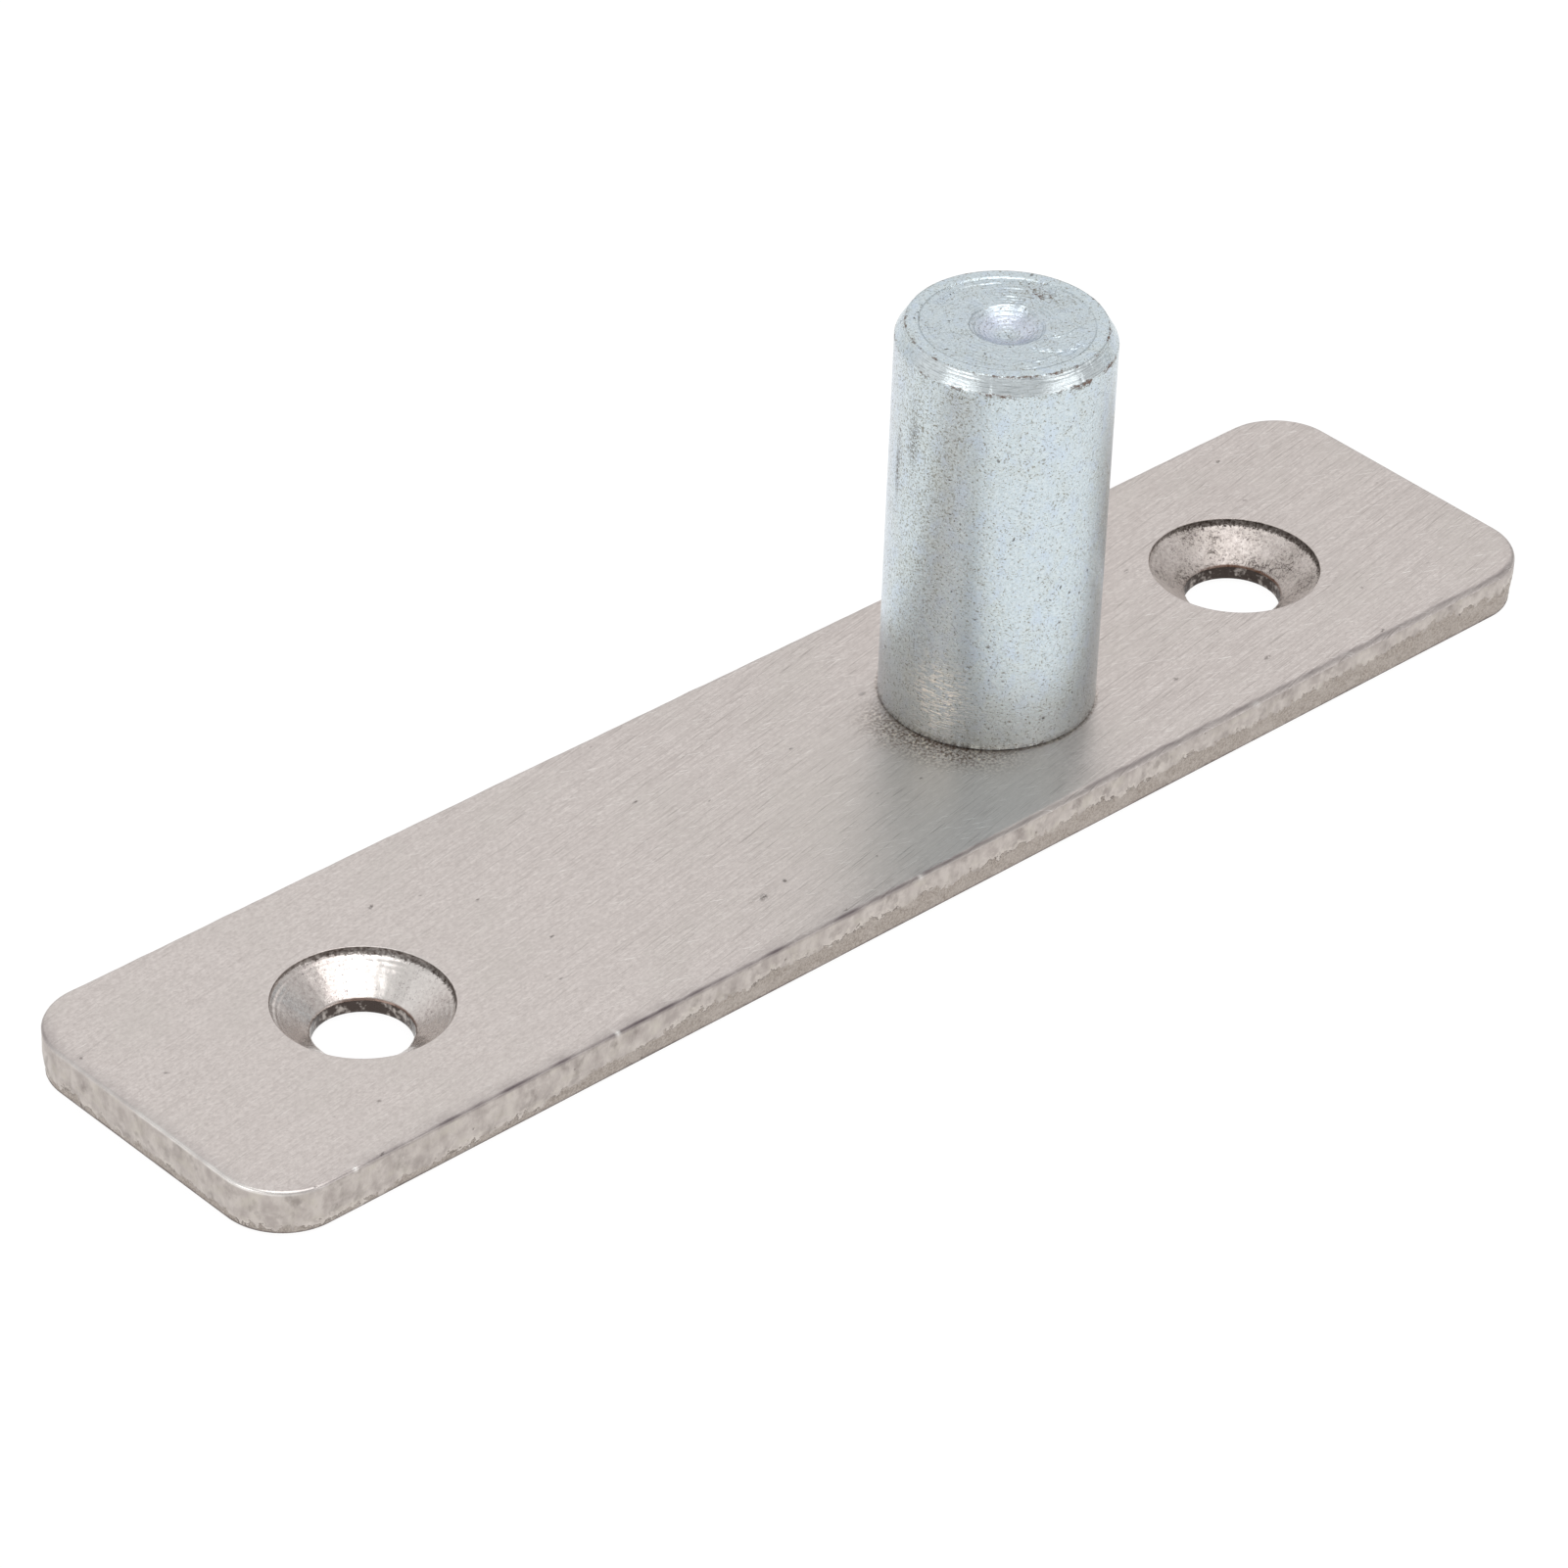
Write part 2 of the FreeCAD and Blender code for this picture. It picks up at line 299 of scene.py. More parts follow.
def brushedFinish():
    material, tree, place = newFinish("brushedSteel")
    turn = brushed["turn"]
    along = addNode(tree, "SeparateXYZ", {"Vector": place}).outputs["X"]
    worn = remap(tree, along, *brushed["wornFrom"], *brushed["wornShare"])
    fine = grain(tree, place, (4.5, 0.09, 1.0), turn=turn, detail=3.0, roughness=0.65)
    streak = grain(tree, place, (7.0, 0.15, 1.0), 7.0, turn, detail=3.0)
    mottle = grain(tree, place, (0.32, 0.22, 1.0), 3.0, turn, detail=4.0, roughness=0.75)
    cloud = grain(tree, place, (9.0, 6.0, 9.0), 11.0, 30.0, detail=3.0)
    lines = times(tree, remap(tree, fine, 0.60, 0.34), worn)
    colour = tint(tree, lines, brushed["base"], brushed["dark"])
    pinShadePoint = (*(pinCentre + brushed["coolPlace"]), thickness)
    colour = layered(tree, colour, brushed, [
        ("dark", remap(tree, mottle, 0.36, 0.64, 0.75, 0.0)),
        ("light", times(tree, remap(tree, streak, 0.52, 0.74, 0.0, 0.25), worn)),
        ("cool", remap(tree, cloud, 0.48, 0.72, 0.0, 0.3)),
        # a darker patch by the pin: painted shade and a painted reflection of the pin
        ("cool", times(tree, nearPoint(tree, place, pinShadePoint, 19.0, 3.0), 0.6)),
    ])

    # hairline scratches both dark and bright, a few across the brushing, and small pits
    hair = grain(tree, place, (3.0, 0.06, 1.0), 19.0, turn + 3.0, detail=1.0)
    shine = grain(tree, place, (2.0, 0.05, 1.0), 31.0, turn - 2.0, detail=1.0)
    cross = grain(tree, place, (1.6, 0.045, 1.0), 43.0, turn - 30.0, detail=0.0)
    pits = scatter(tree, place, 1.9, 0.17, 0.45, 5.0, 1.7, turn)
    dints = scatter(tree, place, 4.6, 0.30, 0.45, 9.0, 1.9, turn + 20)
    broken = remap(tree, mottle, 0.60, 0.46)
    marks = times(tree, combine(tree, "MAXIMUM", pits, dints), broken)
    colour = layered(tree, colour, brushed, [
        ("pit", times(tree, remap(tree, hair, 0.62, 0.72, 0.0, 0.5), worn)),
        ("bright", remap(tree, shine, 0.71, 0.79, 0.0, 0.6)),
        ("bright", times(tree, remap(tree, cross, 0.78, 0.84), worn)),
        ("pit", times(tree, marks, 0.8)),
    ])

    # rust dust with pale crumbs, to the left of the pin's foot
    foot = (*pinCentre, thickness)
    dustPoint = (*(pinCentre + brushed["dustPlace"]), thickness)
    ring = nearPoint(tree, place, foot, pinRadius + 4.2, pinRadius + 0.3)
    side = nearPoint(tree, place, dustPoint, 9.0, 2.5)
    dust = grain(tree, place, 0.24, 5.0, detail=4.0, roughness=0.7)
    seam = nearPoint(tree, place, foot, pinRadius + 0.30, pinRadius + 0.05)
    gathered = combine(tree, "MAXIMUM", times(tree, ring, side), times(tree, seam, 0.6))
    rusty = times(tree, gathered, remap(tree, dust, 0.45, 0.58))
    pale = times(tree, gathered, remap(tree, dust, 0.44, 0.36))

    # the painted shade line along the near edge and the painted highlight on the left end's edge
    fadedShadeLine = times(tree, attribute(tree, "line"), remap(tree, along, -15.0, 10.0, 0.95, 0.6))
    rubbed = attribute(tree, "rubbed")
    colour = layered(tree, colour, brushed, [
        ("rust", times(tree, rusty, 0.9)),
        ("dustLight", times(tree, pale, 0.9)),
        ("line", fadedShadeLine),
        ("bright", rubbed),
    ])
    swing = remap(tree, streak, 0.3, 0.7, brushed["roughness"] - 0.04, brushed["roughness"] + 0.06)
    dull = combine(tree, "ADD", swing, times(tree, rusty, 0.3))
    dull = combine(tree, "SUBTRACT", dull, times(tree, rubbed, 0.1))
    normal = relief(tree, times(tree, fine, worn), 0.010)
    normal = relief(tree, mottle, 0.008, normal)
    normal = relief(tree, combine(tree, "SUBTRACT", 1.0, marks), 0.03, normal)
    return finished(material, colour, dull, normal)


# Finish of the sheared wall: dragged smooth above, torn and grainy below

sheared = dict(
    drag=rgb(199, 191, 185),
    dragDark=rgb(170, 161, 156),
    straw=rgb(194, 188, 174),
    tear=rgb(192, 183, 175),
    tearDark=rgb(154, 144, 136),
    flake=rgb(214, 206, 198),
    smudge=rgb(134, 125, 120),
    crack=rgb(108, 98, 92),
    seam=rgb(120, 111, 110),
    # line: the colour of the painted shade line along the near edge
    line=rgb(104, 94, 97),
    bright=rgb(255, 252, 248),
    roughness=0.42,
)


def shearedFinish():
    material, tree, place = newFinish("shearedSteel")
    drags = grain(tree, place, (0.95, 0.95, 1.5), 2.0, detail=4.0, roughness=0.6)
    blotch = grain(tree, place, (1.9, 1.9, 1.1), 9.0, detail=4.0, roughness=0.6)
    rough = grain(tree, place, 0.16, 4.0, detail=4.0, roughness=0.7)
    ragged = grain(tree, place, (0.45, 0.45, 0.40), 14.0, detail=4.0, roughness=0.65)
    below = combine(tree, "ADD", attribute(tree, "tearLevel"), remap(tree, ragged, 0.3, 0.7, -0.45, 0.45))
    torn = remap(tree, below, -0.05, 0.12)
    smooth = tint(tree, remap(tree, drags, 0.30, 0.62), sheared["dragDark"], sheared["drag"])
    smudge = grain(tree, place, (1.3, 1.3, 1.6), 37.0, detail=4.0, roughness=0.6)
    smooth = layered(tree, smooth, sheared, [
        ("straw", remap(tree, blotch, 0.52, 0.68, 0.0, 0.35)),
        ("dragDark", remap(tree, blotch, 0.46, 0.32, 0.0, 0.8)),
        ("smudge", remap(tree, smudge, 0.55, 0.70, 0.0, 0.6)),
    ])
    broken = tint(tree, remap(tree, rough, 0.38, 0.62), sheared["tearDark"], sheared["tear"])
    broken = tint(tree, remap(tree, blotch, 0.45, 0.65, 0.0, 0.4), broken, sheared["drag"])
    colour = tint(tree, torn, smooth, broken)

    # pale flakes and dark cracks here and there where the torn part begins, dark dots below it
    patchy = grain(tree, place, 2.4, 25.0)
    flake = between(tree, below, -0.50, -0.2, -0.06, 0.0)
    flake = times(tree, flake, remap(tree, patchy, 0.46, 0.58, 0.0, 0.55))
    line = between(tree, below, -0.06, 0.0, 0.03, 0.09)
    crack = times(tree, line, remap(tree, patchy, 0.50, 0.60, 0.0, 0.75))
    dots = scatter(tree, place, 1.3, 0.12, 0.30)
    crack = combine(tree, "MAXIMUM", crack, times(tree, dots, 0.6))
    colour = layered(tree, colour, sheared, [
        ("flake", flake),
        ("crack", crack),
        # darker at the wall's foot
        ("seam", times(tree, attribute(tree, "foot"), 0.8)),
        # the painted shade line and the painted edge highlight carry on from the roll
        ("line", times(tree, attribute(tree, "line"), 0.7)),
        ("bright", attribute(tree, "rubbed")),
    ])
    dull = remap(tree, torn, 0.0, 1.0, sheared["roughness"], sheared["roughness"] + 0.16)
    normal = relief(tree, drags, 0.010)
    normal = relief(tree, times(tree, rough, remap(tree, torn, 0.0, 1.0, 0.3, 1.0)), 0.05, normal)
    normal = relief(tree, combine(tree, "SUBTRACT", 1.0, crack), 0.05, normal)
    return finished(material, colour, dull, normal)


# Finish of the screw holes: turned cones, with a dark bore

turned = dict(
    bright=rgb(228, 220, 215),
    polished=rgb(253, 250, 246),
    dull=rgb(198, 188, 184),
    worn=rgb(194, 185, 178),
    fleck=rgb(128, 118, 118),
    grime=rgb(70, 60, 54),
    bore=rgb(74, 66, 62),
    boreLight=rgb(176, 168, 162),
    rust=rgb(112, 74, 52),
    roughness=0.24,
)


def turnedFinish():
    material, tree, place = newFinish("turnedSteel")
    depth = attribute(tree, "depth")
    behind = attribute(tree, "behind")
    wear = attribute(tree, "wear")
    mottle = grain(tree, place, 0.30, 6.0, detail=5.0, roughness=0.7)
    blotch = grain(tree, place, 2.2, 13.0, detail=3.0)
    colour = tint(tree, remap(tree, mottle, 0.36, 0.62), turned["dull"], turned["bright"])

    # blotches of tarnish in the worn hole, and a painted highlight on the back of the other one's cone
    tarnish = times(tree, wear, remap(tree, blotch, 0.35, 0.60, 0.1, 0.6))
    backHighlight = times(tree, remap(tree, behind, 0.7, 0.95, 0.0, 0.5), remap(tree, wear, 1.0, 0.0))

    # purple-grey flecks, denser in blotches and in the more worn hole
    flecks = grain(tree, place, 0.22, 33.0, detail=4.0, roughness=0.7, distortion=1.2)
    crowd = combine(tree, "ADD", remap(tree, blotch, 0.38, 0.66, 0.0, 0.7), times(tree, wear, 0.45))
    limit = remap(tree, crowd, 0.0, 1.3, 0.60, 0.49)
    spots = remap(tree, combine(tree, "SUBTRACT", flecks, limit), 0.0, 0.08, 0.0, 0.7)

    # fine cracks of grime in the worn hole, and paler fronts in both
    veins = grain(tree, place, 0.9, 51.0, detail=3.0, roughness=0.6, distortion=0.8)
    crack = between(tree, veins, 0.470, 0.495, 0.505, 0.530)
    crack = times(tree, crack, remap(tree, blotch, 0.46, 0.60, 0.0, 0.8))
    colour = layered(tree, colour, turned, [
        ("worn", tarnish),
        ("polished", backHighlight),
        ("fleck", spots),
        ("grime", times(tree, crack, wear)),
        ("bright", remap(tree, behind, -0.3, -0.9, 0.0, 0.6)),
    ])

    # the bore is dark with paler patches, with a thread of rust above it at the back
    patch = grain(tree, place, 0.7, 21.0, detail=4.0, roughness=0.6)
    bore = tint(tree, remap(tree, patch, 0.50, 0.64, 0.0, 0.9), turned["bore"], turned["boreLight"])
    colour = tint(tree, remap(tree, depth, 0.685, 0.71), colour, bore)
    throat = between(tree, depth, 0.65, 0.675, 0.69, 0.715)
    throat = times(tree, throat, remap(tree, behind, 0.3, 0.8, 0.1, 0.8))

    # a dark band on the straight rim, ragged below, thickest at the back
    sag = remap(tree, behind, -0.3, 0.9, -0.07, 0.01)
    lower = combine(tree, "ADD", remap(tree, flecks, 0.3, 0.7, 0.10, 0.18), sag)
    above = combine(tree, "SUBTRACT", lower, depth)
    collar = times(tree, remap(tree, above, 0.0, 0.012), remap(tree, depth, 0.004, 0.016))
    collarStrength = remap(tree, mottle, 0.35, 0.66, 1.0, 0.6)
    collarStrength = times(tree, collarStrength, remap(tree, behind, -0.5, 0.6, 0.5, 1.0))
    darkCollar = times(tree, collar, collarStrength)
    colour = layered(tree, colour, turned, [("rust", throat), ("grime", darkCollar)])
    shine = remap(tree, mottle, 0.3, 0.7, turned["roughness"] + 0.05, turned["roughness"] - 0.04)
    spoiled = times(tree, combine(tree, "MAXIMUM", spots, darkCollar), 0.25)
    dull = combine(tree, "ADD", shine, times(tree, wear, 0.26))
    dull = combine(tree, "ADD", dull, spoiled)
    rings = addNode(tree, "CombineXYZ", {"X": attribute(tree, "radius")})
    marks = grain(tree, rings.outputs["Vector"], (0.12, 1.0, 1.0), 1.0, detail=3.0)
    normal = relief(tree, marks, 0.006)
    normal = relief(tree, mottle, 0.014, normal)
    return finished(material, colour, dull, normal)


# Finish of the pin: bright zinc plate, finely wrinkled, with rust specks and a lavender bloom

zinc = dict(
    pale=rgb(217, 227, 231),
    blue=rgb(197, 210, 217),
    sky=rgb(202, 216, 232),
    olive=rgb(204, 208, 198),
    lavender=rgb(214, 216, 236),
    grey=rgb(196, 206, 212),
    steel=rgb(232, 240, 243),
    low=rgb(202, 206, 202),
    shade=rgb(160, 172, 180),
    speck=rgb(132, 127, 112),
    dark=rgb(84, 76, 70),
    rust=rgb(108, 78, 60),
    spark=rgb(255, 250, 240),
    hoop=rgb(140, 146, 150),
    roughness=0.20,
)


def zincFinish():
    material, tree, place = newFinish("zincPlate")
    stain = attribute(tree, "stain")
    tip = attribute(tree, "tip")
    low = attribute(tree, "low")
    inner = attribute(tree, "inner")
    wrinkle = grain(tree, place, (0.22, 0.22, 0.18), 3.0, detail=4.0, roughness=0.7, distortion=0.6)
    patches = grain(tree, place, (2.0, 2.0, 3.0), 8.0, detail=4.0, roughness=0.6)
    bluish = grain(tree, place, (1.0, 1.0, 1.5), 41.0, detail=3.0)
    colour = tint(tree, remap(tree, wrinkle, 0.36, 0.62), zinc["blue"], zinc["pale"])
    colour = layered(tree, colour, zinc, [
        ("sky", remap(tree, bluish, 0.50, 0.66, 0.0, 0.55)),
        ("olive", remap(tree, patches, 0.50, 0.70, 0.0, 0.3)),
        ("olive", times(tree, stain, 0.12)),
        ("low", times(tree, low, 0.4)),
        ("shade", times(tree, attribute(tree, "shade"), 0.35)),
        ("lavender", times(tree, attribute(tree, "bloom"), 0.5)),
        ("grey", times(tree, inner, 0.35)),
        # the chamfer's front, facing the view, takes a brighter steel tone: partly its own finish, partly
        # painted sheen
        ("steel", times(tree, tip, 0.9)),
    ])

    # wormy specks, where noise passes a threshold that the stained places lower
    worms = grain(tree, place, (0.17, 0.17, 0.14), 15.0, roughness=0.6, distortion=0.8)
    crowd = combine(tree, "ADD", remap(tree, patches, 0.38, 0.66, 0.0, 0.6), stain)
    limit = remap(tree, crowd, 0.0, 1.2, 0.60, 0.53)
    specks = remap(tree, combine(tree, "SUBTRACT", worms, limit), 0.0, 0.07, 0.0, 0.75)
    specks = times(tree, specks, remap(tree, tip, 0.0, 1.0, 1.0, 0.4))
    dots = scatter(tree, place, 0.9, 0.14, 0.30)
    smear = times(tree, attribute(tree, "smear"), remap(tree, worms, 0.42, 0.55))
    dots = combine(tree, "MAXIMUM", dots, smear)

    # rust on the edges, and painted glints in bright strokes low down in front
    crust = grain(tree, place, (0.34, 0.34, 0.20), 23.0, detail=4.0, roughness=0.7)
    lean = combine(tree, "ADD", crust, remap(tree, attribute(tree, "edge"), 0.0, 1.0, -0.30, 0.13))
    rusty = remap(tree, lean, 0.41, 0.56, 0.0, 0.9)
    strokes = grain(tree, place, (0.7, 0.7, 0.10), 27.0, distortion=0.8)
    sparks = times(tree, attribute(tree, "spark"), remap(tree, strokes, 0.51, 0.59))

    # the lathe's fine lines on the chamfer
    hoops = grain(tree, place, (1.6, 1.6, 0.055), 35.0, detail=3.0, roughness=0.6)
    hooped = times(tree, tip, remap(tree, hoops, 0.50, 0.34, 0.0, 0.6))
    colour = layered(tree, colour, zinc, [
        ("speck", specks),
        ("dark", times(tree, dots, 0.8)),
        ("rust", rusty),
        ("spark", sparks),
        ("hoop", hooped),
    ])
    dull = remap(tree, wrinkle, 0.35, 0.65, zinc["roughness"] - 0.03, zinc["roughness"] + 0.05)
    dull = combine(tree, "SUBTRACT", dull, times(tree, combine(tree, "MAXIMUM", tip, inner), 0.05))
    spoiled = times(tree, combine(tree, "MAXIMUM", specks, rusty), 0.25)
    dull = combine(tree, "ADD", dull, spoiled)
    normal = relief(tree, times(tree, wrinkle, remap(tree, tip, 0.0, 1.0, 1.0, 0.3)), 0.038)
    normal = relief(tree, combine(tree, "SUBTRACT", 1.0, combine(tree, "MAXIMUM", dots, rusty)), 0.04, normal)
    normal = relief(tree, times(tree, hoops, tip), 0.008, normal)
    normal = relief(tree, times(tree, strokes, remap(tree, low, 0.0, 1.0, 0.2, 1.0)), 0.030, normal)
    return finished(material, colour, dull, normal)


# The mounting plate

plateShape = dict(
    cornerRadius=5.0,
    spacing=0.31,
    cutLeft=-15.0,  # the flat faces are in three zones, one about each hole
    cutRight=30.0,
    flatInset=1.2,  # where the edge ends and the zones begin
    rollEnd=0.26,  # width of the rolled edge at the ends, along the sides, and at their right
    rollSide=0.28,
    rollFar=0.62,
    rollSpread=(-18, 20),
    rollSwing=0.03,
    rollShare=0.85,  # its height over its width
    lineInset=0.10,  # the painted shade line: how far in, how much further at the right, and how wide
    lineStray=0.24,
    lineWobble=0.05,
    lineWidth=0.15,
    lineSpread=(-14, 22),
    tearLow=0.55,  # height of the torn part at the left, in the middle, and more at the right
    tearHigh=1.75,
    tearMore=0.5,
    tearRise=(-46, -22),
    tearRiseMore=(28, 50),
    tearWander=0.28,
    tearLip=0.035,
    tearInset=0.2,
    footRadius=0.08,
    dragDepth=0.010,
    tearDepth=0.028,
    wallRow=11,  # row of faces, low on the roll, where the wall's finish begins
    backTurn=25,  # from the view to a hole's back, in degrees
)
nicks = [-54.8, -31.5, -2.8, 31.1]  # bright nicks along the near edge, painted as glints
shadedCorners = [(-45, 32), (160, 28)]  # painted shade at two corners: the way out of each, and its spread, in degrees
screwShape = dict(
    mouth=6.45,
    lip=0.05,
    rim=0.35,
    throatHeight=1.14,
    throatRound=0.20,
    footBreak=0.08,
    ringDepth=0.035,
    ringPitch=0.34,
    ringFade=0.4,
    sway=0.015,
)
rivetShape = dict(bore=5.0, mouth=6.2, coneHeight=1.2)


def platePath(shape):
    # A walk round the plate at its corners' centres: straight runs along the sides, and a
    # quarter turn on the spot at each corner. Gives where it stands, the way out as an angle,
    # how far it has gone and the whole length.
    reachX = plateHigh[0] - shape["cornerRadius"]
    reachY = plateHigh[1] - shape["cornerRadius"]
    stops = [-reachX, shape["cutLeft"], shape["cutRight"], reachX]
    runs = [((a, -reachY), (b, -reachY), -90, -90) for a, b in zip(stops[:-1], stops[1:])]
    runs += [
        ((reachX, -reachY), (reachX, -reachY), -90, 0),
        ((reachX, -reachY), (reachX, reachY), 0, 0),
        ((reachX, reachY), (reachX, reachY), 0, 90),
    ]
    back = stops[::-1]
    runs += [((a, reachY), (b, reachY), 90, 90) for a, b in zip(back[:-1], back[1:])]
    runs += [
        ((-reachX, reachY), (-reachX, reachY), 90, 180),
        ((-reachX, reachY), (-reachX, -reachY), 180, 180),
        ((-reachX, -reachY), (-reachX, -reachY), 180, 270),
    ]
    spine, angles, walked = [], [], []
    total = 0.0
    for start, end, angleStart, angleEnd in runs:
        start, end = np.array(start), np.array(end)
        turn = math.radians(angleEnd - angleStart)
        length = np.linalg.norm(end - start) + abs(turn) * shape["cornerRadius"]
        t = np.arange(round(length / shape["spacing"])) / round(length / shape["spacing"])
        spine.append(start + (end - start) * t[:, None])
        angles.append(math.radians(angleStart) + turn * t)
        walked.append(total + length * t)
        total += length
    return np.concatenate(spine), np.concatenate(angles), np.concatenate(walked), total


def edgeProfile(shape, roll):
    # For each place on the path, from the top's flat over a quarter of an ellipse as wide as
    # the roll, down the wall, round a small bend and in along the underside.
    bend = np.linspace(0, math.pi / 2, 14)[:, None]
    rollInset = roll * (1 - np.sin(bend))
    rollHeight = thickness - shape["rollShare"] * roll * (1 - np.cos(bend))
    share = np.linspace(0, 1, 29)[1:, None]
    wallHeight = rollHeight[-1:] + (shape["footRadius"] - rollHeight[-1:]) * share
    wallInset = shape["tearInset"] * np.clip(1 - wallHeight / shape["tearHigh"], 0, 1)
    turn = np.linspace(0, math.pi / 2, 6)[1:, None]
    footInset = wallInset[-1:] + shape["footRadius"] * (1 - np.cos(turn))
    footHeight = shape["footRadius"] * (1 - np.sin(turn)) + 0 * roll
    edge = np.full((1, roll.shape[1]), shape["flatInset"])
    inset = np.concatenate([edge, rollInset, wallInset, footInset, edge])
    height = np.concatenate([0 * edge + thickness, rollHeight, wallHeight, footHeight, 0 * edge])
    return inset, height


def edgeMarks(shape, chance, place, inset, level, roll):
    # The painted shade line on the near edge's roll, which leaves the wall's top and wanders further in
    # towards the right, painted shade at two corners, and the painted highlight along the left end's
    # edge, brightest at the front corner, with glints at the nicks.
    spine, angle, along, total = place
    bearing = np.degrees(angle)
    onRoll = softStep(-0.14, -0.02, level - (thickness - shape["rollShare"] * roll))
    nearSide = np.clip(-np.sin(angle), 0, 1) ** 4
    toRight = softStep(*shape["lineSpread"], spine[:, 0])
    wobble = shape["lineWobble"] * ripple(chance, along, 0.0, total, (1.5, 9.0))
    course = shape["lineInset"] + (shape["lineStray"] + wobble) * toRight
    strength = np.clip(0.75 + 0.3 * ripple(chance, along, 0.0, total, (2.0, 20.0)), 0.3, 1.0)
    line = bell(inset, course, shape["lineWidth"]) * nearSide * strength * onRoll
    corners = sum(0.5 * bell(bearing, way, spread) for way, spread in shadedCorners)
    line = np.maximum(line, corners * bell(inset, 0.12, 0.22) * onRoll)
    leftEnd = np.clip(-np.cos(angle), 0, 1) * (0.55 + 0.45 * softStep(8, -9, spine[:, 1]))
    patchy = np.clip(0.8 + 0.25 * ripple(chance, along, 0.0, total, (1.0, 8.0)), 0.2, 1.0)
    rubbed = bell(inset, 0.07, 0.13) * leftEnd * patchy * (1 - bell(bearing, 150, 25))
    for nick in nicks:
        rubbed = rubbed + bell(spine[:, 0], nick, 0.16) * nearSide * bell(inset, 0.12, 0.12)
    return line, np.clip(rubbed, 0, 1) * onRoll


def plateRim(shape, chance):
    # The edge's profile carried round the plate. The wall moves in and out by a ripple that
    # runs straight down above a wandering line, and by a lumpy one below it.
    spine, angle, walked, total = platePath(shape)
    along = walked[None, :]
    sides = np.sin(angle) ** 2
    widening = softStep(*shape["rollSpread"], spine[:, 0])
    wide = shape["rollSide"] + (shape["rollFar"] - shape["rollSide"]) * widening
    roll = shape["rollEnd"] + (wide - shape["rollEnd"]) * sides
    roll = roll[None, :] + shape["rollSwing"] * sides * ripple(chance, along, 0.0, total, (2.0, 25.0))
    inset, level = edgeProfile(shape, roll)
    slow = ripple(chance, along, 0.0, total, (2.0, 14.0))
    quick = ripple(chance, along, 0.0, total, (0.5, 1.6))
    climb = shape["tearHigh"] - shape["tearLow"]
    line = shape["tearLow"] + climb * softStep(*shape["tearRise"], spine[:, 0])
    line = line + shape["tearMore"] * softStep(*shape["tearRiseMore"], spine[:, 0])
    line = line + shape["tearWander"] * (0.7 * slow + 0.6 * quick)
    torn = softStep(-0.10, 0.10, line - level)
    onWall = softStep(thickness - 0.1, thickness - 0.7, level) * softStep(0.0, 0.12, level)
    drags = ripple(chance, along, level * 0.1, total, (0.7, 4.0))
    lumps = ripple(chance, along, level, total, (0.5, 2.5), waves=90)
    lip = shape["tearLip"] * np.clip(0.5 + 0.8 * ripple(chance, along, 0.0, total, (3.0, 15.0)), 0, 1.6)
    depth = (1 - torn) * shape["dragDepth"] * (1 + drags)
    depth = np.clip(depth + torn * (lip + shape["tearDepth"] * (1 + lumps)), 0, None)
    reach = shape["cornerRadius"] - inset - depth * onWall
    out = np.stack([np.cos(angle), np.sin(angle)], axis=1)
    across = spine[None] + out[None] * reach[..., None]
    points = np.concatenate([across, level[..., None]], axis=2)
    rows = np.arange(len(level) - 1)
    shadeLine, rubbed = edgeMarks(shape, chance, (spine, angle, along, total), inset, level, roll)
    values = {
        "tearLevel": line - level,
        "foot": softStep(0.20, 0.04, level) * softStep(0.9, 0.5, inset),
        "line": shadeLine,
        "rubbed": rubbed,
    }
    wallRows = (rows >= shape["wallRow"]) & (rows < len(rows) - 1)
    patch = dict(points=points, materials=np.where(wallRows, 1, 0), values=values)
    return patch, points[0, :, :2]


def zoneLoop(rim, low, high, spacing):
    # The part of the rim between two cuts across the plate, closed along the cuts.
    tiny = 1e-6
    kept = np.flatnonzero((rim[:, 0] > low - tiny) & (rim[:, 0] < high + tiny))
    runs = np.split(kept, np.flatnonzero(np.diff(kept) > 1) + 1)
    loop = []
    for number, run in enumerate(runs):
        loop.append(rim[run])
        here = rim[run[-1]]
        there = rim[runs[(number + 1) % len(runs)][0]]
        count = max(round(np.linalg.norm(there - here) / spacing), 1)
        t = np.arange(1, count)[:, None] / count
        loop.append(here + (there - here) * t)
    return np.concatenate(loop)


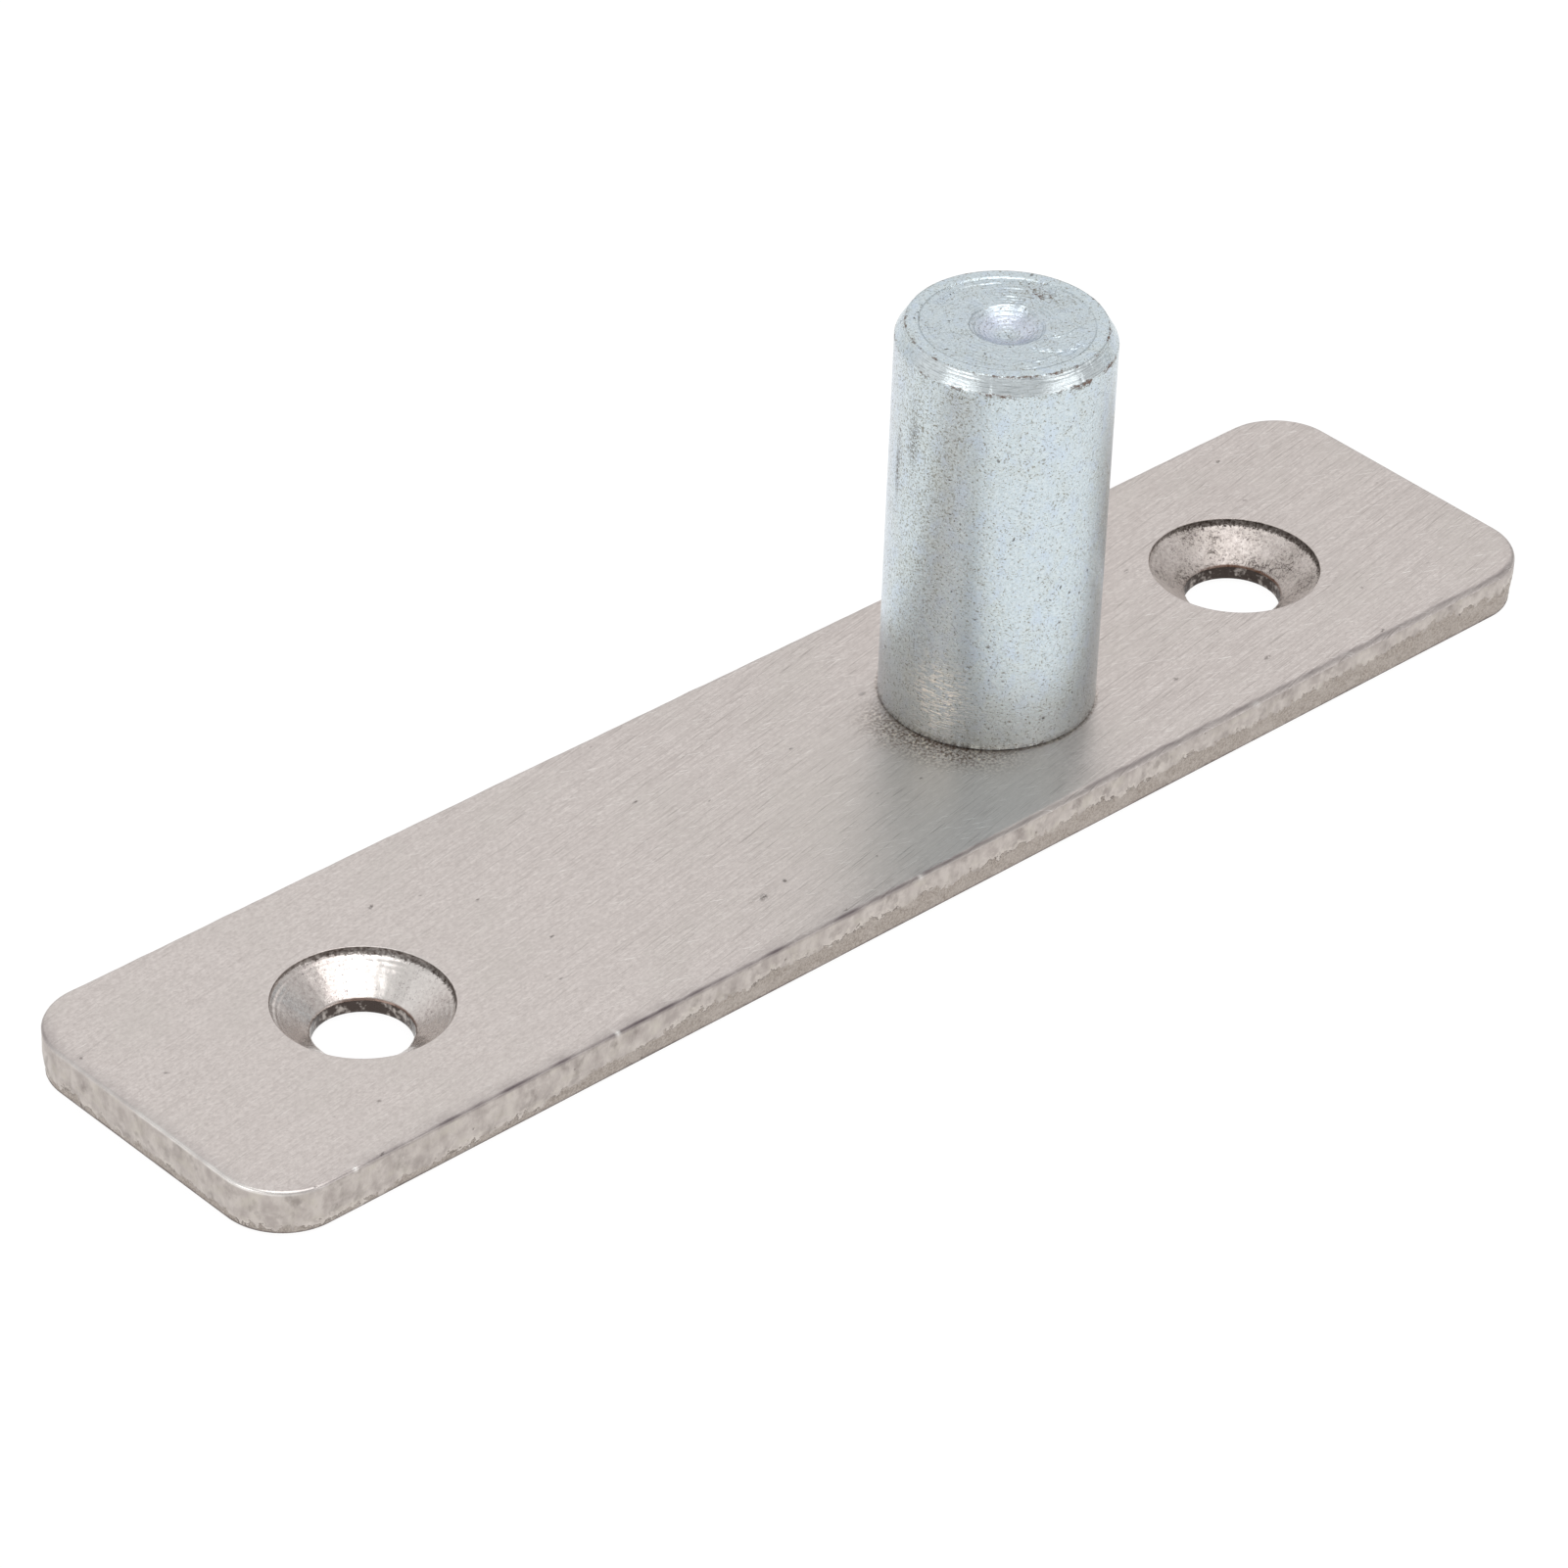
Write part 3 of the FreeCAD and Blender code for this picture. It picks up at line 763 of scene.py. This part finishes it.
def screwProfile(shape):
    # A rounded lip, a short straight rim, rings left by the tool, the cone, a soft turn into
    # the bore, the bore and its broken edge. Gives the radius and the height.
    bend = np.linspace(0, math.pi / 2, 5)
    lipRadius = shape["mouth"] + shape["lip"] * (1 - np.sin(bend))
    lipHeight = thickness - shape["lip"] * (1 - np.cos(bend))
    coneTop = thickness - shape["rim"]
    coneRadius = np.linspace(shape["mouth"] - 0.03, screwRadius + shape["throatRound"], 40)
    slope = (coneTop - shape["throatHeight"]) / (shape["mouth"] - screwRadius)
    ring = shape["mouth"] - coneRadius
    toolRings = np.sin(fullTurn * ring / shape["ringPitch"]) * np.exp(-ring / shape["ringFade"])
    coneHeight = coneTop - slope * ring + shape["ringDepth"] * toolRings
    turnT = np.linspace(0, 1, 6)[1:]
    turnRadius = screwRadius + shape["throatRound"] * (1 - turnT) ** 2
    turnHeight = coneHeight[-1] - (coneHeight[-1] - shape["throatHeight"] + 0.15) * turnT
    boreHeight = np.linspace(turnHeight[-1], shape["footBreak"], 7)[1:]
    boreRadius = np.full(boreHeight.shape, screwRadius)
    foot = [screwRadius + shape["footBreak"]]
    radius = np.concatenate([lipRadius, coneRadius, turnRadius, boreRadius, foot])
    height = np.concatenate([lipHeight, coneHeight, turnHeight, boreHeight, [0.0]])
    return radius, height


def rivetProfile(shape):
    # Straight down, then a cone that opens at the underside.
    radius = np.array([shape["bore"], shape["bore"], shape["bore"], shape["mouth"]])
    height = np.array([thickness, thickness / 2, shape["coneHeight"], 0.0])
    return radius, height


def plateZone(rim, shape, low, high, centre, profile, chance, sway, wear):
    # Spokes from the hole to the zone's border on top, down the hole's wall, and out again
    # underneath, all at the same angles about the hole. Share is how far out on a spoke.
    loop = zoneLoop(rim, low, high, shape["spacing"])
    offset = loop - centre
    angle = np.arctan2(offset[:, 1], offset[:, 0])
    way = np.stack([np.cos(angle), np.sin(angle)], axis=1)
    radius, height = profile
    share = np.array([1.0, 0.6, 0.3, 0.12, 0.04])
    top = centre + way * radius[0] + (loop - centre - way * radius[0]) * share[:, None, None]
    under = centre + way * radius[-1] + (loop - centre - way * radius[-1]) * share[::-1, None, None]
    inside = softStep(thickness, thickness - 0.3, height) * softStep(0.0, 0.2, height)
    wobble = ripple(chance, angle[None, :], height[:, None], fullTurn, (0.12, 1.2), 6.0) * inside[:, None]
    wall = centre + way[None] * (radius[:, None] + sway * wobble)[..., None]
    flat = np.concatenate([top, wall, under])
    levels = np.concatenate([np.full(len(share), thickness), height, np.zeros(len(share))])
    points = np.concatenate([flat, np.broadcast_to(levels[:, None, None], (*flat.shape[:2], 1))], axis=2)
    count = len(share)
    walls = np.zeros(len(levels) - 1, int)
    walls[count:count + len(height) - 1] = 2
    values = {
        "depth": ((thickness - levels) / thickness)[:, None],
        "radius": np.linalg.norm(flat - centre, axis=2),
        "behind": -np.cos(angle - math.radians(viewBearing - shape["backTurn"]))[None, :],
        "wear": wear,
    }
    return dict(points=points, materials=walls, values=values)


def mountingPlate(finishes):
    chance = np.random.default_rng(11)
    shape = plateShape
    band, rim = plateRim(shape, chance)
    far = np.array([screwMiddle - screwSpan / 2, 0.0])
    near = np.array([screwMiddle + screwSpan / 2, 0.0])
    screw = screwProfile(screwShape)
    sway = screwShape["sway"]
    rivet = rivetProfile(rivetShape)
    zones = [
        plateZone(rim, shape, -math.inf, shape["cutLeft"], far, screw, chance, sway, 0.0),
        plateZone(rim, shape, shape["cutLeft"], shape["cutRight"], pinCentre, rivet, chance, 0.0, 0.0),
        plateZone(rim, shape, shape["cutRight"], math.inf, near, screw, chance, sway, 1.0),
    ]
    piece = makePiece("dressed_plate", [band, *zones], finishes)
    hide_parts("mounting_plate")
    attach(piece, "root")


# The pivot pin

pinShape = dict(
    columns=420,
    tailRadius=6.08,
    tailDome=0.06,
    spigotRadius=4.98,
    coneHeight=1.2,
    footBreak=0.15,
    tipWidth=0.7,
    tipHeight=1.2,
    tipRound=0.07,
    faceRadius=6.35,
    faceDepth=0.1,
    centreRadius=2.7,
    centreDepth=1.0,
    ringPitch=0.36,
    ringDepth=0.015,
    stepWander=0.06,
    ridgeDepth=0.12,
    faceGrain=0.007,
    tipPitch=0.21,
    tipGroove=0.016,
    tipDint=0.04,
    sideSway=0.004,
    tailDent=0.015,
)
# Torn ridges on the end face: where each starts, in degrees from the view, and how far out,
# how far round it runs, and how much it moves out for each degree.
ridges = [
    dict(start=30, radius=3.7, run=38, climb=0.064, height=1.0),
    dict(start=64, radius=3.4, run=26, climb=0.070, height=0.6),
    dict(start=10, radius=5.2, run=70, climb=0.004, height=0.5),
]
# Steps left by the tool: how far out each is, and how deep.
toolSteps = [(5.7, 0.05), (5.0, 0.03), (4.0, 0.03), (2.75, 0.02)]
# Places of the pin's marks, each with its spread: angles from the view, in degrees, heights,
# and on the end face radii.
pinPlaces = dict(
    stainAngle=(-48, 26),
    backAngle=(150, 28),
    backRadius=(5.0, 1.3),
    upperBlot=(29, 3.5),
    lowerBlot=(46, 4),
    bloomAngle=(-85, 18),
    bloomRadius=(1.6, 0.9),
    smearAngle=(-66, 2.2),
    smearHeight=(24.5, 2.4),
    specksAngle=(-52, 4),
    specksHeight=(28, 2.5),
    sparkAngle=(-28, 14),
    sparkHeight=(7.5, 2.6),
    shadeAngle=-13,
)


def pinProfile(shape):
    # From the middle of the riveted tail out, up the spigot, out along the shoulder, up the
    # side, over the chamfer, and in across the recessed face to the lip of the dimple. Each
    # corner has its radius, its height and the number of rows up to the next one.
    top = pinHigh[2]
    tail = pinLow[2]
    face = top - shape["faceDepth"]
    corners = [
        (0.0, tail, 14),
        (shape["tailRadius"] - 0.1, tail, 2),
        (shape["tailRadius"], tail + 0.06, 5),
        (shape["spigotRadius"], shape["coneHeight"], 4),
        (shape["spigotRadius"], thickness, 4),
        (pinRadius - shape["footBreak"], thickness, 3),
        (pinRadius, thickness + shape["footBreak"], 60),
        (pinRadius, top - shape["tipHeight"] - shape["tipRound"], 4),
        (pinRadius - 0.04, top - shape["tipHeight"] + shape["tipRound"], 16),
        (pinRadius - shape["tipWidth"] + 0.03, top - shape["tipRound"], 4),
        (pinRadius - shape["tipWidth"] - shape["tipRound"], top, 8),
        (shape["faceRadius"] + 0.04, top, 4),
        (shape["faceRadius"] - 0.10, face, 64),
        (shape["centreRadius"] + 0.1, face, 1),
    ]
    radius, height = [], []
    for (r0, z0, count), (r1, z1, _) in zip(corners[:-1], corners[1:]):
        t = np.arange(count) / count
        radius.append(r0 + (r1 - r0) * t)
        height.append(z0 + (z1 - z0) * t)

    # the dimple is part bowl and part cone: 0.6 (1 - q^2) + 0.4 (1 - q), with q from 1 at its
    # lip to 0 in the middle
    q = np.linspace(1, 0, 56)
    radius.append((shape["centreRadius"] + 0.1) * q)
    height.append(face - shape["centreDepth"] * (0.6 * (1 - q**2) + 0.4 * (1 - q)))
    return np.concatenate(radius), np.concatenate(height)


def faceRelief(shape, chance, radius, angle):
    # What the lathe left on the end face: fine rings sin(s) + 0.6 sin(2s + 1), steps of the
    # tool, torn ridges that spiral out, and a little roughness.
    arc = angle * pinRadius
    x, y = radius * np.cos(angle), radius * np.sin(angle)
    spin = radius / shape["ringPitch"] + angle / fullTurn
    rings = np.sin(fullTurn * spin) + 0.6 * np.sin(fullTurn * spin * 2 + 1.0)
    patchy = np.clip(0.8 + 0.9 * ripple(chance, x, y, girth, (1.5, 6.0)), 0, 2.5)
    patchy = patchy * (0.6 + 0.4 * softStep(4.6, 3.0, radius))
    inDimple = softStep(shape["centreRadius"], shape["centreRadius"] - 0.3, radius)
    uneven = np.clip(0.6 + 0.4 * ripple(chance, x, y, girth, (0.8, 3.0)), 0, 1.4)
    patchy = patchy * (1 - inDimple) + uneven * inDimple
    lift = shape["ringDepth"] * rings * patchy
    wander = shape["stepWander"] * ripple(chance, arc, 0.0, girth, (2.0, 12.0))
    for place, depth in toolSteps:
        swing = 0.7 * ripple(chance, arc, 0.0, girth, (3.0, 15.0)) * softStep(1.6, 3.2, radius)
        strength = np.clip(0.6 + swing, 0, 1.4)
        lift = lift - depth * strength * softStep(0.06, -0.06, radius - place - wander)
    fromView = angleFrom(angle, viewBearing)
    for ridge in ridges:
        swing = 0.12 * ripple(chance, arc, 0.0, girth, (0.8, 5.0))
        course = ridge["radius"] + ridge["climb"] * (fromView - ridge["start"]) + swing
        end = ridge["start"] + ridge["run"]
        window = softStep(ridge["start"] - 4, ridge["start"] + 4, fromView)
        window = window * softStep(end + 4, end - 4, fromView)
        ragged = np.clip(0.8 + 0.35 * ripple(chance, arc, 0.0, girth, (0.6, 2.4)), 0.3, 1.3)
        crest = bell(radius, course, 0.11) - 0.6 * bell(radius, course - 0.22, 0.10)  # and its furrow
        lift = lift + shape["ridgeDepth"] * ridge["height"] * window * ragged * crest
    return lift + shape["faceGrain"] * ripple(chance, x, y, girth, (0.5, 1.5), waves=60)


def pinMarks(shape, chance, radius, height, angle, inFace, onTip):
    # Where stains, rust and bloom lie, by the angle from the view, the height and the radius.
    places = pinPlaces
    arc = angle * pinRadius
    top = pinHigh[2]
    edge = top - shape["tipHeight"]
    tipTop = pinRadius - shape["tipWidth"]
    fromView = angleFrom(angle, viewBearing)
    side = softStep(edge, edge - 0.1, height)
    left = bell(fromView, *places["stainAngle"]) * (0.35 + 0.65 * softStep(thickness + 4, top - 6, height))
    backRight = bell(fromView, *places["backAngle"]) * bell(radius, *places["backRadius"]) * inFace
    spotty = np.clip(0.8 + 0.35 * ripple(chance, arc, 0.0, girth, (1.0, 9.0)), 0.2, 1.2)
    upperRim = bell(radius, tipTop, 0.14) * softStep(edge + 0.6, top, height) * spotty
    lowerRim = bell(height, edge, 0.17) * spotty[:, ::-1]
    blots = bell(fromView, *places["upperBlot"]) * upperRim
    blots = blots + 0.7 * bell(fromView, *places["lowerBlot"]) * lowerRim
    footRing = softStep(thickness + 0.4, thickness + 0.1, height) * side * 0.45
    # the arc that faces the view, where the chamfer's tone is brightened
    front = softStep(-64, -48, fromView) * softStep(68, 54, fromView)
    widening = 5 + 5 * softStep(thickness + 14, thickness, height)
    shade = bell(fromView, places["shadeAngle"], widening) * side
    shade = shade * (0.45 + 0.55 * softStep(top - 4, thickness + 6, height))
    smear = bell(fromView, *places["smearAngle"]) * bell(height, *places["smearHeight"])
    specks = bell(fromView, *places["specksAngle"]) * bell(height, *places["specksHeight"])
    spark = bell(fromView, *places["sparkAngle"]) * bell(height, *places["sparkHeight"])
    bloom = 0.4 * bell(fromView, *places["bloomAngle"]) * side
    bloom = bloom + bell(radius, *places["bloomRadius"]) * inFace
    return {
        "stain": np.clip((left + 0.15) * side + backRight + 0.8 * (upperRim + lowerRim), 0, 1),
        "edge": np.clip(0.64 * (upperRim + lowerRim) + blots + footRing + 0.48 * backRight, 0, 1),
        "bloom": np.clip(bloom, 0, 1),
        "inner": inFace * softStep(1.5, 3.0, radius),
        "tip": onTip * front,
        "smear": smear + 0.6 * specks,
        "low": softStep(thickness + 9, thickness + 1, height) * softStep(1, 3, height) * side,
        "shade": shade,
        "spark": np.clip(1.3 * spark, 0, 1),
    }


def pivotPin(finishes):
    # The profile turned about its axis, with the end face's relief, small nicks and rings on
    # the chamfer, a faint sway in the side, and the dents of the riveting on the tail.
    chance = np.random.default_rng(5)
    shape = pinShape
    radius, height = pinProfile(shape)
    radius, height = radius[:, None], height[:, None]
    angle = np.linspace(0, fullTurn, shape["columns"], endpoint=False)[None, :]
    arc = angle * pinRadius
    top = pinHigh[2]
    edge = top - shape["tipHeight"]
    tipTop = pinRadius - shape["tipWidth"]

    inFace = softStep(shape["faceRadius"] + 0.02, shape["faceRadius"] - 0.1, radius) * (height > thickness)
    lift = faceRelief(shape, chance, radius, angle) * inFace * softStep(0.0, 0.5, radius)
    onTip = softStep(edge - 0.05, edge + 0.05, height) * softStep(tipTop - 0.05, tipTop + 0.05, radius)
    dints = ripple(chance, arc, height * 0.25, girth, (0.35, 2.5), waves=80)
    dints = np.clip(dints - 0.6, 0, None) * shape["tipDint"] * onTip
    grooves = shape["tipGroove"] * (1 + np.sin(fullTurn * height / shape["tipPitch"]))
    grooves = grooves * softStep(edge + 0.5, top - 0.2, height) * onTip
    sway = shape["sideSway"] * (1 + ripple(chance, arc, height * 0.3, girth, (3.0, 20.0)))
    sway = np.clip(sway, 0, None) * softStep(thickness, thickness + 1, height)
    onTail = softStep(0.4, 0.2, height) * softStep(shape["tailRadius"], shape["tailRadius"] - 0.4, radius)
    dents = ripple(chance, arc, radius * 1.5, girth, (2.0, 12.0)) * softStep(0.0, 1.0, radius)
    dome = shape["tailDome"] * (1 - (radius / shape["tailRadius"]) ** 2) * 0.5
    lift = lift + (dome + shape["tailDent"] * dents) * onTail

    reach = radius - dints - grooves - sway * (1 - inFace)
    points = np.stack([
        pinCentre[0] + reach * np.cos(angle),
        pinCentre[1] + reach * np.sin(angle),
        np.minimum(np.broadcast_to(height, reach.shape) + lift, top),
    ], axis=2)

    values = pinMarks(shape, chance, radius, height, angle, inFace, onTip)
    patch = dict(points=points, materials=np.zeros(len(radius) - 1, int), values=values)
    piece = makePiece("dressed_pin", [patch], finishes)
    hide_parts("pivot_pin")
    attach(piece, "root")


# The studio

studio = dict(
    cameraPlace=(-301.70, -308.80, 301.97),
    cameraTurn=(55.2449, -1.8648, -42.7351),
    lens=167.64,
    floorSize=3000,
    floorDrop=0.3,  # clear of the underside, which would flicker against it
    floorShade=0.12,
    floorGlow=0.92,
    sky=0.62,
)
# Each box stands off the part at an angle from the view, to its right, and at a height, both
# in degrees, and faces it.
softBoxes = {
    "overhead": dict(aside=38, rise=79, away=600, size=(520, 500), glow=1.2),
    "leftSide": dict(aside=-105, rise=30, away=600, size=(640, 420), glow=0.15),
    "leftStrip": dict(aside=-46, rise=20, away=600, size=(330, 220), glow=1.0),
    "rightStrip": dict(aside=62, rise=17, away=600, size=(360, 220), glow=0.7),
    "behind": dict(aside=180, rise=38, away=700, size=(900, 500), glow=0.28),
}


def addFloor():
    half = studio["floorSize"] / 2 * mm
    low = -studio["floorDrop"] * mm
    mesh = bpy.data.meshes.new("floor")
    corners = [(-half, -half, low), (half, -half, low), (half, half, low), (-half, half, low)]
    mesh.from_pydata(corners, [], [(0, 1, 2, 3)])
    floor = addObject("floor", mesh)
    material = bpy.data.materials.new("palePaper")
    material.use_nodes = True
    shader = material.node_tree.nodes["Principled BSDF"]
    shader.inputs["Base Color"].default_value = (*[studio["floorShade"]] * 3, 1)
    shader.inputs["Roughness"].default_value = 0.9
    shader.inputs["Specular IOR Level"].default_value = 0.1
    shader.inputs["Emission Color"].default_value = (1, 1, 1, 1)
    shader.inputs["Emission Strength"].default_value = studio["floorGlow"]
    mesh.materials.append(material)


def addSoftBoxes():
    # A box's radiance is its glow: its power over four times its area.
    for name, box in softBoxes.items():
        bearing, rise = math.radians(viewBearing + box["aside"]), math.radians(box["rise"])
        way = Vector((math.cos(rise) * math.cos(bearing), math.cos(rise) * math.sin(bearing), math.sin(rise)))
        light = bpy.data.lights.new(name, "AREA")
        light.shape = "RECTANGLE"
        light.size = box["size"][0] * mm
        light.size_y = box["size"][1] * mm
        light.energy = box["glow"] * 4 * light.size * light.size_y
        lamp = addObject(name, light)
        lamp.location = way * box["away"] * mm
        lamp.rotation_euler = way.to_track_quat("Z", "Y").to_euler()


def addSky():
    world = bpy.data.worlds.new("softSky")
    scene.world = world
    world.use_nodes = True
    world.node_tree.nodes["Background"].inputs["Color"].default_value = (*[studio["sky"]] * 3, 1)


def addCamera():
    data = bpy.data.cameras.new("camera")
    data.lens = studio["lens"]
    data.sensor_width = 36
    data.clip_start = 0.01
    data.clip_end = 20
    camera = addObject("camera", data)
    camera.location = [value * mm for value in studio["cameraPlace"]]
    camera.rotation_euler = [math.radians(value) for value in studio["cameraTurn"]]
    scene.camera = camera


addCamera()
addFloor()
addSoftBoxes()
addSky()
scene.view_settings.view_transform = "Standard"
print("studio: camera, floor and lights are set")

mountingPlate([brushedFinish(), shearedFinish(), turnedFinish()])
pivotPin([zincFinish()])
print("pieces: plate and pin are dressed")
